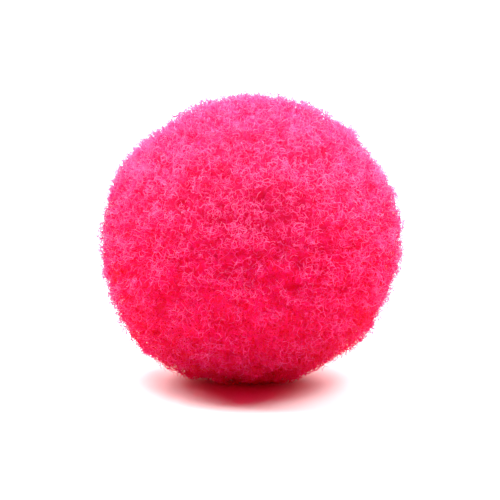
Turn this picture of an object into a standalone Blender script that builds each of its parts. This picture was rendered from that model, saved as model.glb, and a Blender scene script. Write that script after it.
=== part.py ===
"""A yarn pom pom: a dense ball of short cut locks that radiate from one packed middle.

The ball is one closed solid. A sphere of cells with three or four sides is the packed middle, where
the roots of the locks are fused. Each cell carries one lock, which widens outwards and ends in a
low crown. The locks underneath are shorter, and end level on the surface that the ball rests on.

Metres, +Z up, with the front of the ball towards -Y. The origin is the middle of the resting spot.
"""

import math
import random

import bmesh
import bpy
from mathutils import Vector, noise

MM = 0.001

# Driving dimensions
BALL_RADIUS = 12.5 * MM  # how far the locks reach from the ball's middle, on average
TOP_LOSS = 0.025  # how much shorter the reach is straight up, as a share
REST_HEIGHT = 11.9 * MM  # the ball's middle above the surface that it rests on
MIDDLE_RADIUS = 10.3 * MM  # the packed middle, where the roots are fused
CELL_CORNERS = 270  # corners of the cells that the packed middle is divided in
LOCK_GAP = 0.3 * MM  # free space between two locks, from root to crown
CROWN_RISE = 0.6 * MM  # the crown's height over the lock's shoulder
CROWN_SHARE = 0.5  # the crown's width as a share of the cell's
FOOT_SPREAD = math.radians(15)  # locks this near to straight down end level on the surface
FOOT_LIFT = 0.15 * MM  # how far the other locks stay above the surface

GOLDEN_TURN = math.pi * (3 - math.sqrt(5))
CORNER_SPACE = math.sqrt(4 * math.pi / CELL_CORNERS)  # mean space between corners, in radians
JOIN_ANGLE = math.radians(60)  # two triangles make a four-sided cell up to this skew
DOWN = Vector((0, 0, -1))

# Unevenness of a hand-trimmed ball
SEED = 11
CORNER_SHIFT = 0.22  # how far a cell's corner strays, as a share of the space between corners
LENGTH_SPREAD = 0.012  # how much a lock's length differs from its neighbours', as a share
LUMP_RISE = 0.02  # height of the broad lumps, as a share of the reach
LUMPS_AROUND = 2.2  # how fast the broad lumps change over the ball

# Where the outline stands out or dips, seen from the front: the place as an angle from +X up
# towards +Z, the half width of the patch, and its rise as a share of the reach.
PATCHES = (
    # turn_deg, width_deg, rise
    (227, 21, 0.065),
    (131, 12, -0.030),
    (100, 10, -0.028),
    (341, 10, -0.025),
    (322, 9, 0.015),
)

YARN_COLOUR = (0.90, 0.020, 0.115, 1.0)  # hot pink, in linear light
YARN_ROUGHNESS = 0.9


def clear_scene():
    for thing in list(bpy.data.objects):
        bpy.data.objects.remove(thing, do_unlink=True)


def yarn_material():
    material = bpy.data.materials.new("hot_pink_yarn")
    material.use_nodes = True
    shader = material.node_tree.nodes["Principled BSDF"]
    shader.inputs["Base Color"].default_value = YARN_COLOUR
    shader.inputs["Roughness"].default_value = YARN_ROUGHNESS
    shader.inputs["Metallic"].default_value = 0.0
    material.diffuse_color = YARN_COLOUR
    return material


def patch_rise(direction):
    """The rise of all patches in this direction, as a share of the reach."""
    total = 0.0
    for turn_deg, width_deg, rise in PATCHES:
        turn = math.radians(turn_deg)
        centre = Vector((math.cos(turn), 0.0, math.sin(turn)))
        away = direction.angle(centre) / math.radians(width_deg)
        total += rise * math.exp(-away * away)
    return total


def pile_reach(direction):
    """How far the pile reaches from the ball's middle in this direction."""
    lumps = LUMP_RISE * noise.noise(direction * LUMPS_AROUND)
    flattening = TOP_LOSS * direction.z**2
    return BALL_RADIUS * (1.0 + lumps - flattening + patch_rise(direction))


def reach_to_height(direction, height):
    """How far it is from the ball's middle to a level this far below it."""
    return height / -direction.z


def lock_reach(direction, lock_axis, length):
    """The reach of one lock in a direction. Foot locks end level on the surface."""
    if lock_axis.angle(DOWN) < FOOT_SPREAD:
        return reach_to_height(direction, REST_HEIGHT)
    reach = pile_reach(direction) * length
    if direction.z < 0:
        reach = min(reach, reach_to_height(direction, REST_HEIGHT - FOOT_LIFT))
    return reach


def spread_directions(rng):
    """Directions spread evenly over the sphere along a golden spiral, each moved a little."""
    directions = []
    for step in range(CELL_CORNERS):
        height = 1.0 - (2 * step + 1) / CELL_CORNERS
        turn = step * GOLDEN_TURN
        across = math.sqrt(1.0 - height * height)
        even = Vector((across * math.cos(turn), across * math.sin(turn), height))
        shift = CORNER_SHIFT * CORNER_SPACE
        stray = Vector([rng.uniform(-shift, shift) for _ in range(3)])
        directions.append((even + stray).normalized())
    return directions


def axis_of(cell):
    return cell.calc_center_median().normalized()


def packed_middle(mesh, rng):
    """A sphere of three- and four-sided cells, turned until one of them faces straight down."""
    corners = [mesh.verts.new(d) for d in spread_directions(rng)]
    bmesh.ops.convex_hull(mesh, input=corners, use_existing_faces=False)
    bmesh.ops.join_triangles(
        mesh,
        faces=mesh.faces[:],
        angle_face_threshold=math.pi,
        angle_shape_threshold=JOIN_ANGLE,
    )
    lowest = min((axis_of(cell) for cell in mesh.faces), key=lambda axis: axis.z)
    turn = lowest.rotation_difference(DOWN).to_matrix()
    bmesh.ops.rotate(mesh, verts=mesh.verts[:], cent=(0, 0, 0), matrix=turn)
    bmesh.ops.scale(mesh, verts=mesh.verts[:], vec=[MIDDLE_RADIUS] * 3)
    return mesh.faces[:]


def filled_share(radius):
    """The share of a cell's width that its lock fills at this radius."""
    return 1.0 - LOCK_GAP / (radius * CORNER_SPACE)


def add_ring(mesh, lower_ring, directions, reaches):
    """Adds a ring of vertices in these directions, and walls from it down to the ring below."""
    ring = [mesh.verts.new(way * reach) for way, reach in zip(directions, reaches)]
    for side in range(len(ring)):
        before = side - 1
        mesh.faces.new((lower_ring[before], lower_ring[side], ring[side], ring[before]))
    return ring


def grow_lock(mesh, cell, length):
    """Grows one lock from its cell: its root, its shoulder and its crown."""
    axis = axis_of(cell)
    outline = cell.verts[:]
    corners = [vertex.co.normalized() for vertex in outline]

    def inside(share):
        return [axis.lerp(corner, share).normalized() for corner in corners]

    root_ways = inside(filled_share(MIDDLE_RADIUS))
    root = add_ring(mesh, outline, root_ways, [MIDDLE_RADIUS] * len(corners))

    shoulder_ways = inside(filled_share(BALL_RADIUS))
    shoulder_reaches = [lock_reach(way, axis, length) - CROWN_RISE for way in shoulder_ways]
    shoulder = add_ring(mesh, root, shoulder_ways, shoulder_reaches)

    crown_ways = inside(CROWN_SHARE)
    crown_reaches = [lock_reach(way, axis, length) for way in crown_ways]
    crown = add_ring(mesh, shoulder, crown_ways, crown_reaches)
    mesh.faces.new(crown)


def build_pompom():
    rng = random.Random(SEED)
    mesh = bmesh.new()
    cells = packed_middle(mesh, rng)
    for cell in cells:
        grow_lock(mesh, cell, 1.0 + rng.uniform(-LENGTH_SPREAD, LENGTH_SPREAD))
    bmesh.ops.delete(mesh, geom=cells, context="FACES_ONLY")
    bmesh.ops.translate(mesh, verts=mesh.verts[:], vec=(0, 0, REST_HEIGHT))
    bmesh.ops.recalc_face_normals(mesh, faces=mesh.faces[:])
    data = bpy.data.meshes.new("pompom")
    mesh.to_mesh(data)
    mesh.free()
    data.shade_smooth()
    data.set_sharp_from_angle(angle=math.radians(40))
    pompom = bpy.data.objects.new("pompom", data)
    pompom.data.materials.append(yarn_material())
    bpy.context.scene.collection.objects.link(pompom)
    return pompom


def main():
    clear_scene()
    build_pompom()


main()
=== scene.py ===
"""The looks of a yarn pom pom: packed pile, crimped fibres over it, and a white studio.

Metres, +Z up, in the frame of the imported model. The ball rests on the floor at z = 0.
"""

import math

import bmesh
import bpy
import numpy as np
from bpy.props import (
    FloatProperty,
    FloatVectorProperty,
    IntProperty,
    PointerProperty,
)
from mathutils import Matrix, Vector, kdtree, noise


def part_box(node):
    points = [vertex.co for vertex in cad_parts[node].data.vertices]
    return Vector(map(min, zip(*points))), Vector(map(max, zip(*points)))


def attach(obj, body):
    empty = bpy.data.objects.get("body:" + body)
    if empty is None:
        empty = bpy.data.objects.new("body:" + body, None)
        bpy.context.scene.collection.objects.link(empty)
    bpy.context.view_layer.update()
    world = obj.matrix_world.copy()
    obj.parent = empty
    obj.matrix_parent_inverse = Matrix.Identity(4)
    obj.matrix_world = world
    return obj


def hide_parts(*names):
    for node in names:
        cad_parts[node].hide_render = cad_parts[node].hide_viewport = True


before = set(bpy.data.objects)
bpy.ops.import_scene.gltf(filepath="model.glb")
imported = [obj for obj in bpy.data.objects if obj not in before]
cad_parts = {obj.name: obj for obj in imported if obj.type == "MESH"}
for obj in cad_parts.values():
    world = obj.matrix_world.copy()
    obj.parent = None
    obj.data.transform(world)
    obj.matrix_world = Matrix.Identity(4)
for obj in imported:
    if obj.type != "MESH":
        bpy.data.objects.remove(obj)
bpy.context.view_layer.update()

bl_info = {
    "name": "Yarn Pom Pom",
    "version": (1, 0, 0),
    "blender": (4, 5, 0),
    "location": "3D View > Sidebar > Pom Pom",
    "description": "Builds a cut-pile yarn ball with crimped fibres, and a plain studio round it",
    "category": "Object",
}

MM = 0.001
NODE = "pompom"
BODY = "root"
LOWEST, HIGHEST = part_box(NODE)
MIDDLE = np.array((LOWEST + HIGHEST) / 2)  # the ball's middle
BALL_RADIUS = float(HIGHEST.x - LOWEST.x) / 2
GOLDEN_TURN = math.pi * (3 - math.sqrt(5))

# How the ball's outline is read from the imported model
OUTER_SHARE = 0.8  # corners further out than this share of the radius are on the locks' crowns
NEAR_CORNERS = 14  # how many corners round a direction are looked at
FURTHEST_CORNERS = 5  # how many of those, the furthest out, give the reach there

# How the pile is clumped and tufted
BROAD_WEIGHT = 1.5  # how much the broad clumps count
SMALL_WEIGHT = 0.7  # how much the small clumps count
SMALL_SIZE = 0.45  # size of the small clumps, as a share of the broad ones'
BROAD_PART, SMALL_PART = 3.1, 7.7  # the parts of the noise that the two are read from
BED_SUBDIVISIONS = 6  # gives 20,480 triangles
BED_LUMP_SIZE = 0.6 * MM
STRAY = 0.35  # how far a tuft or a fibre strays, as a share of the space between two
TUFT_RISE = 0.08 * MM  # how much the tufts differ in height
TUFT_LEAN = 0.25  # how much the tufts differ in lean

# The pile is pressed level underneath: the fibres' rise there is SLOPE * z + START, where z runs
# from -1 straight down to 1 straight up.
PRESS_SLOPE = 3.0
PRESS_START = 2.8
PRESS_LEAST = 0.1

# How much single fibres differ, as the least and the most of a random share
LENGTH_SHARE = (0.75, 1.25)
WIDTH_SHARE = (0.75, 1.2)
PITCH_SHARE = (0.75, 1.35)
SWING_SHARE = (0.6, 1.35)
FLATNESS = (0.45, 1.0)  # 1 is a round coil, and less is a flatter crimp
FLOOR_SHARE = (0.6, 2.5)  # how far the lowest fibres stay above the floor, in floor gaps

# A fibre's section and its thickness from root to tip
SIDES = 3
TAPER_PLACES = (0, 0.1, 0.85, 1)
TAPER_WIDTHS = (0.8, 1, 1, 0.55)

# Where fibres grow: more of them on the clumps, somewhat fewer of them towards the top
CHANCE = 0.6  # how much of it is left to chance
TOP_THINNING = 0.1

# The yarn's own map holds each fibre's tone, and each point's height over the pile in millimetres.
# The tone is partly random and partly painted light and shade.
YARN_MAP = "OFBake"
TONE_LEAST, TONE_RANGE = -0.5, 1.5
HEIGHT_LEAST, HEIGHT_RANGE = -1.0, 1.5
# Painted shade: fibres in the hollows are deeper red and those on clumps paler, by this much.
PAINTED_HOLLOW_SHADE = 0.2  # how much paler fibres on a clump are

# The yarn's colours: a point's place on the ramp is start + tone and height by their weights. The
# deep red towards the roots is painted shade deep in the pile. The paler tips and wisps are partly
# the thin fibres' own colour and partly painted light.
YARN = "crimped_yarn"
RAMP_START = -0.31
TONE_WEIGHT = 0.675
HEIGHT_WEIGHT = 0.88
BODY_PLACE, TIP_PLACE = 0.4, 0.75
YARN_ROUGHNESS = 0.45
YARN_SHINE = 0.4
THROUGH_SHARE = 0.45  # share of the light that passes through a fibre

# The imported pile's colours
BED_ROUGHNESS = 0.9
BED_SHINE = 0.2
SPECKLE_SCALE = 3000  # speckles in a metre
SPECKLE_FROM, SPECKLE_TO = 0.3, 0.75
# Painted light: from its middle up, the packed pile is mixed towards the pale tip colour, by up to
# this share at the top.
PAINTED_TOP_LIGHT = 0.6
SPECKLE_DEPTH = 0.2 * MM
SPECKLE_STRENGTH = 0.3

# The studio
FLOOR_REACH = 3.0  # from the middle of the floor to its edge
FLOOR_WHITE = (0.9, 0.9, 0.9, 1)
BACKDROP_WHITE = (1, 1, 1, 1)
BACKDROP_STRENGTH = 1.05
BOUNCES = 40  # light passes through many fibres
SENSOR_WIDTH = 36  # millimetres
NEAREST, FURTHEST = 0.01, 10.0  # how near and how far the camera sees
LAMPS = {
    # name: place, width, depth, and the setting that holds its power
    "overhead_left": ((-0.20, 0.07, 0.50), 0.16, 0.20, "key_power"),
    "overhead_right": ((0.30, 0.07, 0.50), 0.30, 0.20, "key_power"),
    "left": ((-0.40, 0.32, 0.36), 0.35, 0.25, "side_power"),
    "right": ((0.40, 0.32, 0.36), 0.35, 0.25, "side_power"),
    "back": ((0.0, 0.40, 0.48), 1.60, 0.35, "back_power"),
    "backdrop": ((0.0, 0.55, 0.11), 1.40, 0.20, "backdrop_power"),
}

KINDS = {
    # How many fibres of each kind there are, and how they stand. Rises are in millimetres. The tone
    # rise of each kind is painted light: it makes its fibres paler towards the top and deeper red
    # underneath.
    "crimped": dict(
        layers=2, count=6000, points=6, seed=12, rise=0.0, rise_spread=0.13, lean=0.5,
        gather=0.3, thinning=0.3, tone=(-0.3, 0.42), painted_light_rise=1.2,
    ),
    "curled": dict(
        layers=1, count=6100, points=6, seed=11, rise=0.03, rise_spread=0.12, lean=1.2,
        gather=0.1, thinning=0.5, tone=(0.0, 0.6), painted_light_rise=1.15,
    ),
    "wisp": dict(
        layers=2, count=9800, points=4, seed=13, rise=0.36, rise_spread=0.30, lean=0.5,
        gather=0.1, thinning=0.5, tone=(-0.08, 0.55), painted_light_rise=0.85,
    ),
}


# ---------------------------------------------------------------- settings


def size_property(name, description, default):
    return FloatProperty(
        name=name,
        description=description,
        default=default,
        min=0.0,
        unit="LENGTH",
        subtype="DISTANCE",
        precision=5,
    )


def colour_property(name, description, default):
    return FloatVectorProperty(
        name=name,
        description=description,
        default=default,
        size=3,
        min=0.0,
        max=1.0,
        subtype="COLOR",
    )


def power_property(name, description, default):
    return FloatProperty(
        name=name, description=description, default=default, min=0.0, unit="POWER"
    )


class PompomPile(bpy.types.PropertyGroup):
    """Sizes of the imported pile, and how it is clumped."""

    bed_depth: size_property("Bed Depth", "How far the packed pile lies under the tips", 0.95 * MM)
    bed_relief: size_property("Bed Relief", "Height of the lumps in the packed pile", 0.25 * MM)
    clump_size: size_property("Clump Size", "Size of the clumps and hollows", 1.15 * MM)
    clump_rise: size_property("Clump Rise", "How far the clumps stand up", 0.26 * MM)
    tuft_space: size_property("Tuft Space", "Distance between the tufts of the pile", 1.5 * MM)
    floor_gap: size_property("Floor Gap", "How far the lowest fibres lie above the floor", 0.1 * MM)
    seed: IntProperty(name="Seed", description="Chooses another arrangement", default=5, min=0)


class PompomFibres(bpy.types.PropertyGroup):
    """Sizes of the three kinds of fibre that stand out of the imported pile."""

    crimped_length: size_property("Crimped Length", "Length of a crimped fibre", 0.95 * MM)
    crimped_width: size_property("Crimped Width", "Thickness of a crimped fibre", 0.075 * MM)
    crimped_pitch: size_property("Crimped Pitch", "Length of one turn of its crimp", 0.9 * MM)
    crimped_swing: size_property("Crimped Swing", "How far its crimp swings", 0.2 * MM)
    curled_length: size_property("Curled Length", "Length of a curled fibre end", 0.55 * MM)
    curled_width: size_property("Curled Width", "Thickness of a curled fibre end", 0.075 * MM)
    curled_pitch: size_property("Curled Pitch", "Length of one turn of its curl", 0.55 * MM)
    curled_swing: size_property("Curled Swing", "Radius of its curl", 0.22 * MM)
    wisp_length: size_property("Wisp Length", "Length of a wisp", 0.8 * MM)
    wisp_width: size_property("Wisp Width", "Thickness of a wisp", 0.034 * MM)
    wisp_pitch: size_property("Wisp Pitch", "Length of one turn of its crimp", 0.9 * MM)
    wisp_swing: size_property("Wisp Swing", "How far its crimp swings", 0.2 * MM)


class PompomColours(bpy.types.PropertyGroup):
    """Colours of the yarn, in linear light."""

    # The root colour is painted shade deep in the pile. The paler tip and wisp colours are partly
    # the thin fibres' own colour and partly painted light.
    root: colour_property("Root", "Colour deep in the pile", (0.88, 0.002, 0.05))
    body: colour_property("Body", "Colour of most of the fibre", (0.92, 0.008, 0.25))
    tip: colour_property("Tip", "Colour of the tips", (0.97, 0.125, 0.52))
    wisp: colour_property("Wisp", "Colour of the finest fibres", (0.98, 0.32, 0.68))


class PompomStudio(bpy.types.PropertyGroup):
    """The camera's place and the light."""

    camera_distance: size_property("Camera Distance", "From the camera to the ball", 300 * MM)
    camera_height: FloatProperty(
        name="Camera Height",
        description="Angle of the camera above the floor",
        default=math.radians(10),
        subtype="ANGLE",
    )
    view_width: size_property("View Width", "Width of the picture at the ball", 42.4 * MM)
    aim_drop: size_property("Aim Drop", "How far the camera aims under the middle", 1.0 * MM)
    aim_left: size_property("Aim Left", "How far the camera aims beside the middle", 0.12 * MM)
    key_power: power_property("Key Power", "Power of each lamp overhead", 2.45)
    back_power: power_property("Back Power", "Power of the lamp behind", 3.5)
    backdrop_power: power_property("Backdrop Power", "Power of the low lamp behind", 2.5)
    side_power: power_property("Side Power", "Power of each lamp beside the ball", 3.6)
    room_colour: colour_property("Room Colour", "Colour of the light from the room", (1, 0, 0.03))
    room_light: FloatProperty(
        name="Room Light", description="Brightness of the room round the ball", default=0.36, min=0.0
    )


# ---------------------------------------------------------------- helpers


def add_object(name, data):
    """Adds an object to the scene, at the origin."""
    thing = bpy.data.objects.new(name, data)
    bpy.context.scene.collection.objects.link(thing)
    return thing


def new_material(name):
    """A new material, with its nodes, its links and its shader."""
    material = bpy.data.materials.new(name)
    material.use_nodes = True
    nodes, links = material.node_tree.nodes, material.node_tree.links
    return material, nodes, links, nodes["Principled BSDF"]


def set_values(node, values):
    """Sets constant values on a node's own sockets."""
    for socket, value in values.items():
        node.inputs[socket].default_value = value


def unit(vectors):
    """The vectors, each made one long."""
    return vectors / np.linalg.norm(vectors, axis=-1, keepdims=True)


def search_tree(ways):
    """A search tree that finds the places in this list of the directions nearest to another."""
    tree = kdtree.KDTree(len(ways))
    for place, way in enumerate(ways):
        tree.insert(way, place)
    tree.balance()
    return tree


def spiral_directions(count, rng):
    """Directions spread evenly over a ball, each moved by a share of the space between them."""
    steps = np.arange(count)
    height = 1 - (2 * steps + 1) / count
    turn = steps * GOLDEN_TURN
    across = np.sqrt(1 - height**2)
    even = np.stack([across * np.cos(turn), across * np.sin(turn), height], 1)
    space = math.sqrt(4 * math.pi / count)
    return unit(even + rng.normal(0, STRAY * space, even.shape))


def noise_at(points, size, part=0.0):
    """Smooth noise from about -1 to 1 at each point, for features of this size."""
    shift = Vector((part, 0.37 * part, -0.61 * part))
    return np.array([noise.noise(Vector(point) / size + shift) for point in points])


# ---------------------------------------------------------------- the ball's outline


def read_crowns():
    """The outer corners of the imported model: a search tree over them, and their reaches."""
    corners = np.empty(len(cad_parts[NODE].data.vertices) * 3)
    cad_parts[NODE].data.vertices.foreach_get("co", corners)
    corners = np.unique(corners.reshape(-1, 3).round(7), axis=0) - MIDDLE
    reaches = np.linalg.norm(corners, axis=1)
    outer = reaches > OUTER_SHARE * BALL_RADIUS
    return search_tree(unit(corners[outer])), reaches[outer]


CROWNS, CROWN_REACHES = read_crowns()


def pile_reach(ways):
    """How far the pile reaches in each direction: the mean of the furthest crowns near it."""
    reaches = np.empty(len(ways))
    for place, way in enumerate(ways):
        near = [found[1] for found in CROWNS.find_n(way, NEAR_CORNERS)]
        reaches[place] = np.sort(CROWN_REACHES[near])[-FURTHEST_CORNERS:].mean()
    return reaches


def clump_field(ways):
    """Where the pile stands up in clumps (towards 1) and where it opens in hollows (towards -1)."""
    pile = bpy.context.scene.pompom_pile
    places = ways * BALL_RADIUS
    broad = noise_at(places, pile.clump_size, BROAD_PART)
    small = noise_at(places, SMALL_SIZE * pile.clump_size, SMALL_PART)
    return np.clip(BROAD_WEIGHT * broad + SMALL_WEIGHT * small, -1, 1)


# ---------------------------------------------------------------- materials


def yarn_material():
    """Yarn whose colour runs from its root to its tip, with a tone for each fibre. The deep red
    towards the roots is painted shade deep in the pile. The tone is partly random and partly painted
    light: paler towards the top and on clumps, deeper red underneath and in hollows.
    """
    if YARN in bpy.data.materials:
        return bpy.data.materials[YARN]
    colours = bpy.context.scene.pompom_colours
    material, nodes, links, shader = new_material(YARN)
    set_values(shader, {"Roughness": YARN_ROUGHNESS, "Specular IOR Level": YARN_SHINE})
    yarn_map = nodes.new("ShaderNodeUVMap")
    yarn_map.uv_map = YARN_MAP
    split = nodes.new("ShaderNodeSeparateXYZ")
    links.new(yarn_map.outputs["UV"], split.inputs[0])

    height = nodes.new("ShaderNodeMath")
    height.operation = "MULTIPLY_ADD"
    set_values(height, {1: HEIGHT_WEIGHT, 2: RAMP_START})
    links.new(split.outputs[1], height.inputs[0])
    place = nodes.new("ShaderNodeMath")
    place.operation = "MULTIPLY_ADD"
    set_values(place, {1: TONE_WEIGHT})
    links.new(split.outputs[0], place.inputs[0])
    links.new(height.outputs[0], place.inputs[2])

    ramp = nodes.new("ShaderNodeValToRGB")
    ramp.color_ramp.elements[0].color = (*colours.root, 1)
    ramp.color_ramp.elements[1].color = (*colours.wisp, 1)
    ramp.color_ramp.elements.new(BODY_PLACE).color = (*colours.body, 1)
    ramp.color_ramp.elements.new(TIP_PLACE).color = (*colours.tip, 1)
    links.new(place.outputs[0], ramp.inputs["Fac"])
    links.new(ramp.outputs["Color"], shader.inputs["Base Color"])

    through = nodes.new("ShaderNodeBsdfTranslucent")
    links.new(ramp.outputs["Color"], through.inputs["Color"])
    mix = nodes.new("ShaderNodeMixShader")
    set_values(mix, {0: THROUGH_SHARE})
    links.new(shader.outputs[0], mix.inputs[1])
    links.new(through.outputs[0], mix.inputs[2])
    links.new(mix.outputs[0], nodes["Material Output"].inputs["Surface"])
    return material


def bed_material():
    """Speckled packed pile in the root and body colours, with painted light: deep red underneath and
    paler towards the top.
    """
    colours = bpy.context.scene.pompom_colours
    material, nodes, links, shader = new_material("packed_pile")
    set_values(shader, {"Roughness": BED_ROUGHNESS, "Specular IOR Level": BED_SHINE})
    place = nodes.new("ShaderNodeTexCoord")
    speckle = nodes.new("ShaderNodeTexNoise")
    set_values(speckle, {"Scale": SPECKLE_SCALE})
    links.new(place.outputs["Object"], speckle.inputs["Vector"])

    ramp = nodes.new("ShaderNodeValToRGB")
    ramp.color_ramp.elements[0].position = SPECKLE_FROM
    ramp.color_ramp.elements[0].color = (*colours.root, 1)
    ramp.color_ramp.elements[1].position = SPECKLE_TO
    ramp.color_ramp.elements[1].color = (*colours.body, 1)
    links.new(speckle.outputs["Fac"], ramp.inputs["Fac"])

    # Painted light: from the middle up, the pile is mixed towards the pale tip colour, more towards
    # the top.
    height = nodes.new("ShaderNodeSeparateXYZ")
    links.new(place.outputs["Object"], height.inputs[0])
    top_light_fade = nodes.new("ShaderNodeMapRange")
    set_values(
        top_light_fade,
        {"From Min": float(MIDDLE[2]), "From Max": float(HIGHEST.z), "To Max": PAINTED_TOP_LIGHT},
    )
    links.new(height.outputs["Z"], top_light_fade.inputs["Value"])
    painted_top_light = nodes.new("ShaderNodeMix")
    painted_top_light.data_type = "RGBA"
    set_values(painted_top_light, {"B": (*colours.tip, 1)})
    links.new(top_light_fade.outputs["Result"], painted_top_light.inputs["Factor"])
    links.new(ramp.outputs["Color"], painted_top_light.inputs["A"])
    links.new(painted_top_light.outputs["Result"], shader.inputs["Base Color"])

    bump = nodes.new("ShaderNodeBump")
    set_values(bump, {"Distance": SPECKLE_DEPTH, "Strength": SPECKLE_STRENGTH})
    links.new(speckle.outputs["Fac"], bump.inputs["Height"])
    links.new(bump.outputs["Normal"], shader.inputs["Normal"])
    return material


# ---------------------------------------------------------------- pieces


def add_piece(name, data, material):
    """Puts a finished mesh on the ball's body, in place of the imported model's node."""
    data.materials.clear()
    data.materials.append(material)
    piece = add_object(name, data)
    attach(piece, BODY)
    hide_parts(NODE)


def build_bed():
    """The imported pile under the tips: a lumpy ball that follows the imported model's crowns."""
    pile = bpy.context.scene.pompom_pile
    mesh = bmesh.new()
    bmesh.ops.create_icosphere(mesh, subdivisions=BED_SUBDIVISIONS, radius=1.0)
    ways = np.array([vertex.co for vertex in mesh.verts])
    lumps = noise_at(ways * BALL_RADIUS, BED_LUMP_SIZE)
    reach = pile_reach(ways) - pile.bed_depth + pile.bed_relief * lumps
    reach += pile.clump_rise * clump_field(ways)
    places = MIDDLE + ways * reach[:, None]
    places[:, 2] = places[:, 2].clip(2 * pile.floor_gap)  # the lowest fibres lie under it
    for vertex, place in zip(mesh.verts, places):
        vertex.co = place
    data = bpy.data.meshes.new("packed_pile")
    mesh.to_mesh(data)
    mesh.free()
    data.shade_smooth()
    add_piece("packed_pile", data, bed_material())


def tuft_field(ways):
    """For each direction, the middle of the tuft that it is in, and that tuft's rise and lean."""
    pile = bpy.context.scene.pompom_pile
    count = int(4 * math.pi * BALL_RADIUS**2 / pile.tuft_space**2)
    tufts = spiral_directions(count, np.random.default_rng(pile.seed))
    tree = search_tree(tufts)
    own = np.array([tree.find(way)[1] for way in ways])
    rng = np.random.default_rng(pile.seed + 1)
    rise = rng.normal(0, TUFT_RISE, count)
    lean = rng.normal(0, TUFT_LEAN, (count, 3))
    return tufts[own], rise[own], lean[own]


def scatter_fibres(kind, rng):
    """Directions for all fibres of a kind, and the clump field there. Hollows get fewer of them."""
    count = kind["layers"] * kind["count"]
    ways = spiral_directions(int(count * (1 + kind["thinning"])), rng)
    clumps = clump_field(ways)
    keen = kind["thinning"] * (clumps - TOP_THINNING * ways[:, 2])
    keen = keen + rng.uniform(-CHANCE, CHANCE, len(ways))
    keep = np.sort(np.argsort(-keen)[:count])
    return ways[keep], clumps[keep]


def fibre_paths(ways, clumps, rng, name):
    """The paths of the fibres that grow in these directions, and their points' heights in the pile.

    The paths are an array of fibre, point and place. The heights run from 0 to 1.
    """
    pile = bpy.context.scene.pompom_pile
    sizes = bpy.context.scene.pompom_fibres
    kind = KINDS[name]
    count = len(ways)
    tufts, tuft_rise, tuft_lean = tuft_field(ways)

    rise = rng.normal(kind["rise"], kind["rise_spread"], count) * MM
    rise *= (PRESS_SLOPE * ways[:, 2] + PRESS_START).clip(PRESS_LEAST, 1)
    reach = pile_reach(ways) + tuft_rise + rise + pile.clump_rise * clumps
    length = getattr(sizes, f"{name}_length") * rng.uniform(*LENGTH_SHARE, count)
    lean = unit(ways + rng.normal(0, kind["lean"], (count, 3)) + tuft_lean)
    side = unit(np.cross(lean, rng.normal(0, 1, (count, 3))))
    other = np.cross(lean, side)
    turns = length / (getattr(sizes, f"{name}_pitch") * rng.uniform(*PITCH_SHARE, count))
    phase = rng.uniform(0, 2 * math.pi, count)
    hand = rng.choice([-1, 1], count)
    swing = getattr(sizes, f"{name}_swing") * rng.uniform(*SWING_SHARE, count)[:, None, None]
    flat = rng.uniform(*FLATNESS, count)[:, None, None]

    t = np.linspace(0, 1, kind["points"])[None, :, None]
    angle = phase[:, None] + 2 * math.pi * hand[:, None] * turns[:, None] * t[0, :, 0]
    angle = angle[..., None]
    path = lean[:, None] * (length[:, None, None] * t)
    path = path + swing * (np.cos(angle) * side[:, None] + flat * np.sin(angle) * other[:, None])
    # Tufts draw their fibres together towards the tips.
    path = path + kind["gather"] * t**1.5 * ((tufts - ways) * reach[:, None])[:, None]
    # The highest point of each fibre is level with the pile there.
    top = (path * ways[:, None]).sum(2).max(1)
    path = path + (ways * (reach - top)[:, None])[:, None]
    height = (np.linalg.norm(path, axis=2) - pile_reach(ways)[:, None]) / MM
    path = path + MIDDLE
    low = pile.floor_gap * rng.uniform(*FLOOR_SHARE, count)[:, None]
    path[..., 2] = np.maximum(path[..., 2], low)
    return path, ((height - HEIGHT_LEAST) / HEIGHT_RANGE).clip(0, 1)


def fibre_section():
    """A three-sided section of radius 1 for the fibres to be swept from."""
    curve = bpy.data.curves.new("fibre_section", "CURVE")
    spline = curve.splines.new("POLY")
    spline.points.add(SIDES - 1)
    turns = np.arange(SIDES) * 2 * math.pi / SIDES
    corners = np.stack([np.cos(turns), np.sin(turns), 0 * turns, 1 + 0 * turns], 1)
    spline.points.foreach_set("co", corners.ravel())
    spline.use_cyclic_u = True
    return add_object("fibre_section", curve)


def close_ends(data):
    """Closes the open ends of the swept fibres."""
    mesh = bmesh.new()
    mesh.from_mesh(data)
    rims = [edge for edge in mesh.edges if edge.is_boundary]
    bmesh.ops.holes_fill(mesh, edges=rims, sides=SIDES)
    mesh.to_mesh(data)
    mesh.free()


def sweep_fibres(name, paths, widths):
    """One mesh with a closed, three-sided fibre along each path."""
    section = fibre_section()
    curve = bpy.data.curves.new(name, "CURVE")
    curve.dimensions = "3D"
    curve.bevel_mode = "OBJECT"
    curve.bevel_object = section
    count, points = paths.shape[:2]
    taper = np.interp(np.linspace(0, 1, points), TAPER_PLACES, TAPER_WIDTHS)
    homogeneous = np.concatenate([paths, np.ones((count, points, 1))], 2)
    for path, width in zip(homogeneous, widths):
        spline = curve.splines.new("POLY")
        spline.points.add(points - 1)
        spline.points.foreach_set("co", path.ravel())
        spline.points.foreach_set("radius", width / 2 * taper)
    source = add_object(name + "_source", curve)
    depsgraph = bpy.context.evaluated_depsgraph_get()
    data = bpy.data.meshes.new_from_object(source.evaluated_get(depsgraph))
    data.name = name
    for helper in (source, section):
        bpy.data.objects.remove(helper, do_unlink=True)
    close_ends(data)
    data.shade_flat()
    if len(data.vertices) != count * points * SIDES:
        raise RuntimeError(f"{name}: {len(data.vertices)} vertices after the sweep")
    return data


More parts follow.
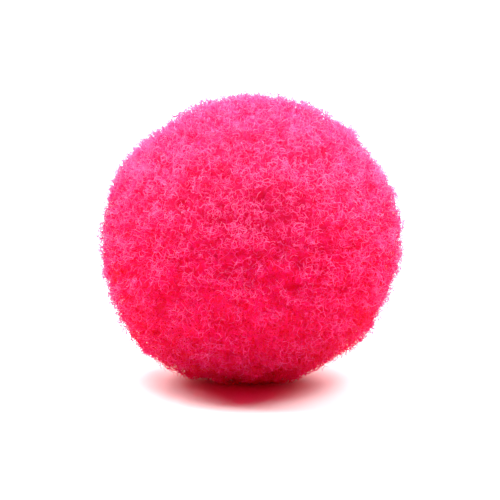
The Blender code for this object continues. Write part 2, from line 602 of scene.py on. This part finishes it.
def store_yarn_map(data, tones, heights):
    """Stores each fibre's tone and each point's height in the map that the yarn's colours read."""
    points = heights.shape[1]
    stored = np.stack([np.repeat(tones, points * SIDES), np.repeat(heights.ravel(), SIDES)], 1)
    corner_vertex = np.empty(len(data.loops), np.int32)
    data.loops.foreach_get("vertex_index", corner_vertex)
    for layer in list(data.uv_layers):
        data.uv_layers.remove(layer)
    layer = data.uv_layers.new(name=YARN_MAP)
    layer.uv.foreach_set("vector", stored[corner_vertex].ravel())


def build_fibres(name):
    """Grows all fibres of one kind, a joined piece for each layer."""
    kind = KINDS[name]
    layers = kind["layers"]
    rng = np.random.default_rng(bpy.context.scene.pompom_pile.seed + kind["seed"])
    ways, clumps = scatter_fibres(kind, rng)
    width = getattr(bpy.context.scene.pompom_fibres, f"{name}_width")
    for layer in range(layers):
        mine, stand = ways[layer::layers], clumps[layer::layers]
        paths, heights = fibre_paths(mine, stand, rng, name)
        widths = width * rng.uniform(*WIDTH_SHARE, len(mine))
        tones = rng.uniform(*kind["tone"], len(mine))
        # Painted light and shade: fibres are paler towards the top and on clumps, and deeper red
        # underneath and in hollows.
        tones += PAINTED_HOLLOW_SHADE * stand + kind["painted_light_rise"] * mine[:, 2]
        tones = ((tones - TONE_LEAST) / TONE_RANGE).clip(0, 1)
        piece_name = f"{name}_fibres_{layer + 1}"
        data = sweep_fibres(piece_name, paths, widths)
        store_yarn_map(data, tones, heights)
        add_piece(piece_name, data, yarn_material())


# ---------------------------------------------------------------- stage


def add_floor():
    mesh = bmesh.new()
    bmesh.ops.create_grid(mesh, x_segments=1, y_segments=1, size=FLOOR_REACH)
    data = bpy.data.meshes.new("floor")
    mesh.to_mesh(data)
    mesh.free()
    material, _, _, shader = new_material("white_floor")
    set_values(shader, {"Base Color": FLOOR_WHITE, "Roughness": 1.0, "Specular IOR Level": 0.0})
    data.materials.append(material)
    add_object("floor", data)


def add_lamp(name, place, width, depth, power):
    """Adds a flat lamp that faces the ball."""
    lamp = bpy.data.lights.new(name, "AREA")
    lamp.shape = "RECTANGLE"
    lamp.size = width
    lamp.size_y = depth
    lamp.energy = power
    holder = add_object(name, lamp)
    holder.location = place
    to_ball = Vector(MIDDLE) - holder.location
    holder.rotation_euler = to_ball.to_track_quat("-Z", "Y").to_euler()


def add_room():
    """The white backdrop that the camera sees, and the pink light that the ball's room gives."""
    studio = bpy.context.scene.pompom_studio
    world = bpy.data.worlds.new("white_room")
    bpy.context.scene.world = world
    world.use_nodes = True
    nodes, links = world.node_tree.nodes, world.node_tree.links
    glow = nodes["Background"]
    set_values(glow, {"Color": (*studio.room_colour, 1), "Strength": studio.room_light})
    backdrop = nodes.new("ShaderNodeBackground")
    set_values(backdrop, {"Color": BACKDROP_WHITE, "Strength": BACKDROP_STRENGTH})
    path = nodes.new("ShaderNodeLightPath")
    pick = nodes.new("ShaderNodeMixShader")
    links.new(path.outputs["Is Camera Ray"], pick.inputs[0])
    links.new(glow.outputs[0], pick.inputs[1])
    links.new(backdrop.outputs[0], pick.inputs[2])
    links.new(pick.outputs[0], nodes["World Output"].inputs["Surface"])


def add_camera():
    """Adds the camera, which looks at the ball from in front and a little above."""
    studio = bpy.context.scene.pompom_studio
    camera = bpy.data.cameras.new("camera")
    camera.sensor_width = SENSOR_WIDTH
    camera.lens = SENSOR_WIDTH * studio.camera_distance / studio.view_width
    camera.clip_start = NEAREST
    camera.clip_end = FURTHEST
    viewer = add_object("camera", camera)
    tilt = studio.camera_height
    back = Vector((0, -math.cos(tilt), math.sin(tilt)))
    aim = Vector(MIDDLE) - Vector((studio.aim_left, 0, studio.aim_drop))
    viewer.location = aim + back * studio.camera_distance
    viewer.rotation_euler = (-back).to_track_quat("-Z", "Y").to_euler()
    bpy.context.scene.camera = viewer


def build_stage():
    scene = bpy.context.scene
    scene.view_settings.view_transform = "Standard"
    scene.cycles.max_bounces = BOUNCES
    scene.cycles.diffuse_bounces = BOUNCES
    scene.cycles.transmission_bounces = BOUNCES
    add_floor()
    for name, (place, width, depth, setting) in LAMPS.items():
        add_lamp(name, place, width, depth, getattr(scene.pompom_studio, setting))
    add_room()
    add_camera()


# ---------------------------------------------------------------- operators


class POMPOM_OT_bed(bpy.types.Operator):
    """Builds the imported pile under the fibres"""

    bl_idname = "pompom.bed"
    bl_label = "Packed Pile"

    def execute(self, context):
        build_bed()
        return {"FINISHED"}


class POMPOM_OT_crimped(bpy.types.Operator):
    """Grows the crimped fibres that cover the ball"""

    bl_idname = "pompom.crimped"
    bl_label = "Crimped Fibres"

    def execute(self, context):
        build_fibres("crimped")
        return {"FINISHED"}


class POMPOM_OT_curled(bpy.types.Operator):
    """Grows the short curled ends between the crimped fibres"""

    bl_idname = "pompom.curled"
    bl_label = "Curled Ends"

    def execute(self, context):
        build_fibres("curled")
        return {"FINISHED"}


class POMPOM_OT_wisps(bpy.types.Operator):
    """Grows the finest fibres, which stand out of the pile"""

    bl_idname = "pompom.wisps"
    bl_label = "Wisps"

    def execute(self, context):
        build_fibres("wisp")
        return {"FINISHED"}


class POMPOM_OT_stage(bpy.types.Operator):
    """Sets up the floor, the light and the camera"""

    bl_idname = "pompom.stage"
    bl_label = "White Studio"

    def execute(self, context):
        build_stage()
        return {"FINISHED"}


class POMPOM_PT_panel(bpy.types.Panel):
    """Lists the steps that build the pom pom"""

    bl_label = "Pom Pom"
    bl_idname = "POMPOM_PT_panel"
    bl_space_type = "VIEW_3D"
    bl_region_type = "UI"
    bl_category = "Pom Pom"

    def draw(self, context):
        for step in STEPS:
            self.layout.operator(step.bl_idname)


STEPS = (
    POMPOM_OT_bed,
    POMPOM_OT_crimped,
    POMPOM_OT_curled,
    POMPOM_OT_wisps,
    POMPOM_OT_stage,
)
SETTINGS = {
    "pompom_pile": PompomPile,
    "pompom_fibres": PompomFibres,
    "pompom_colours": PompomColours,
    "pompom_studio": PompomStudio,
}


def register():
    for name, group in SETTINGS.items():
        bpy.utils.register_class(group)
        setattr(bpy.types.Scene, name, PointerProperty(type=group))
    for step in STEPS:
        bpy.utils.register_class(step)
    bpy.utils.register_class(POMPOM_PT_panel)


def unregister():
    bpy.utils.unregister_class(POMPOM_PT_panel)
    for step in reversed(STEPS):
        bpy.utils.unregister_class(step)
    for name, group in SETTINGS.items():
        delattr(bpy.types.Scene, name)
        bpy.utils.unregister_class(group)


def main():
    register()
    bpy.ops.pompom.bed()
    bpy.ops.pompom.crimped()
    bpy.ops.pompom.curled()
    bpy.ops.pompom.wisps()
    bpy.ops.pompom.stage()


if __name__ == "__main__":
    main()
